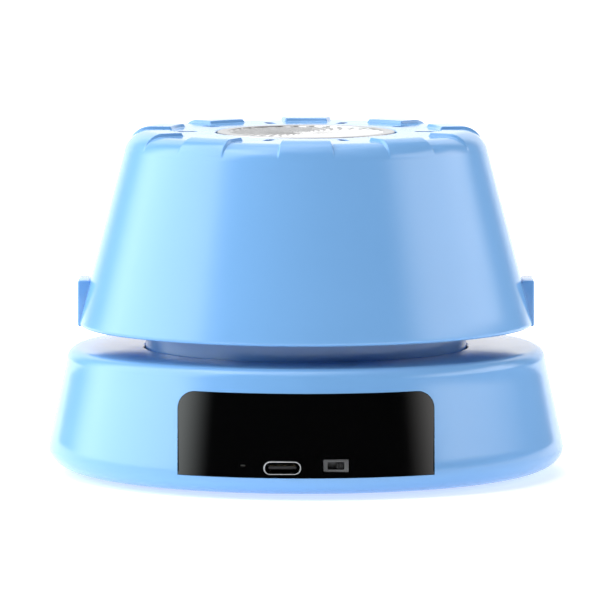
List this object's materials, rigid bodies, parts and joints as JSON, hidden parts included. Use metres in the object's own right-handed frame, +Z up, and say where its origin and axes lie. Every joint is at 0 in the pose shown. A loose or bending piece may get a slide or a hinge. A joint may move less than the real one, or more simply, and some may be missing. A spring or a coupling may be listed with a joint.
{
  "type": "pottery wheel",
  "caption": "Small battery-powered tabletop pottery wheel: metal wheel head flush in a lift-off splash hood, on a geared motor tower in a round base with charging port and slide switch.",
  "frame": {"origin": "centre of the footprint, on the surface the feet stand on", "axes": "+Z up along the wheel head's axis; -Y towards the charging port and the power switch; +X to the right seen from the port side"},
  "size_m": [0.126, 0.126, 0.0839],
  "materials": {
    "blue_plastic": "light-blue gloss moulding",
    "black_gloss": "piano-black gloss",
    "black_matt": "fine matt moulding",
    "grey_plastic": "satin moulding",
    "aluminium": "turned and satin finished",
    "steel": "zinc-plated",
    "bearing_steel": "polished",
    "rubber": "matt",
    "nylon": "natural nylon",
    "brass": "machined",
    "board": "green solder mask",
    "cell_wrap": "shrink sleeve",
    "diffuser": "frosted light guide",
    "red_wire": "silicone insulation"
  },
  "bodies": {
    "base": {"base_housing": "blue_plastic", "port_panel": "black_gloss", "bottom_cover": "blue_plastic", "rubber_foot_1": "rubber", "rubber_foot_2": "rubber", "rubber_foot_3": "rubber", "rubber_foot_4": "rubber", "cover_screw_1": "steel", "cover_screw_2": "steel", "cover_screw_3": "steel", "cover_screw_4": "steel", "ballast_plate": "steel", "battery_cell": "cell_wrap", "battery_cradle": "black_matt", "control_board": "board", "driver_chip": "black_matt", "battery_socket": "nylon", "motor_socket": "nylon", "board_screw_1": "steel", "board_screw_2": "steel", "usb_shell": "bearing_steel", "usb_tongue": "black_matt", "switch_frame": "black_matt", "status_led": "diffuser", "battery_lead": "red_wire", "motor_lead": "red_wire", "motor_tower": "blue_plastic", "tower_clamp_ring": "grey_plastic", "tower_screw_1": "steel", "tower_screw_2": "steel", "tower_screw_3": "steel", "tower_screw_4": "steel", "gear_plate": "grey_plastic", "gear_plate_screw_1": "steel", "gear_plate_screw_2": "steel", "gear_plate_screw_3": "steel", "motor_gearbox": "steel", "motor_can": "steel", "motor_end_cap": "nylon", "motor_screw_1": "steel", "motor_screw_2": "steel", "upper_bearing_outer": "bearing_steel", "lower_bearing_outer": "bearing_steel", "spindle_seal": "rubber"},
    "spindle": {"spindle_shaft": "steel", "upper_bearing_inner": "bearing_steel", "lower_bearing_inner": "bearing_steel", "retaining_clip": "steel", "drive_gear": "nylon", "slinger": "rubber", "head_hub": "brass", "wheel_head": "aluminium"},
    "motor_rotor": {"motor_shaft": "steel", "motor_pinion": "brass"},
    "switch_slider": {"switch_knob": "black_matt"},
    "hood": {"splash_hood": "blue_plastic"}
  },
  "joints": [
    {"name": "spindle_spin", "type": "hinge", "parent": "base", "child": "spindle", "pos_m": [0, 0, 0.07], "axis": [0, 0, 1], "continuous": true},
    {"name": "motor_spin", "type": "hinge", "parent": "base", "child": "motor_rotor", "pos_m": [0, -0.024, 0.06], "axis": [0, 0, 1], "continuous": true},
    {"name": "switch_slide", "type": "slide", "parent": "base", "child": "switch_slider", "axis": [-1, 0, 0], "range_m": [0, 0.00189]},
    {"name": "hood_lift", "type": "slide", "parent": "base", "child": "hood", "axis": [0, 0, 1], "range_m": [0, 0.055]}
  ],
  "couplings": [
    {"joint": "motor_spin", "follows": "spindle_spin", "ratio": -3.2857}
  ]
}
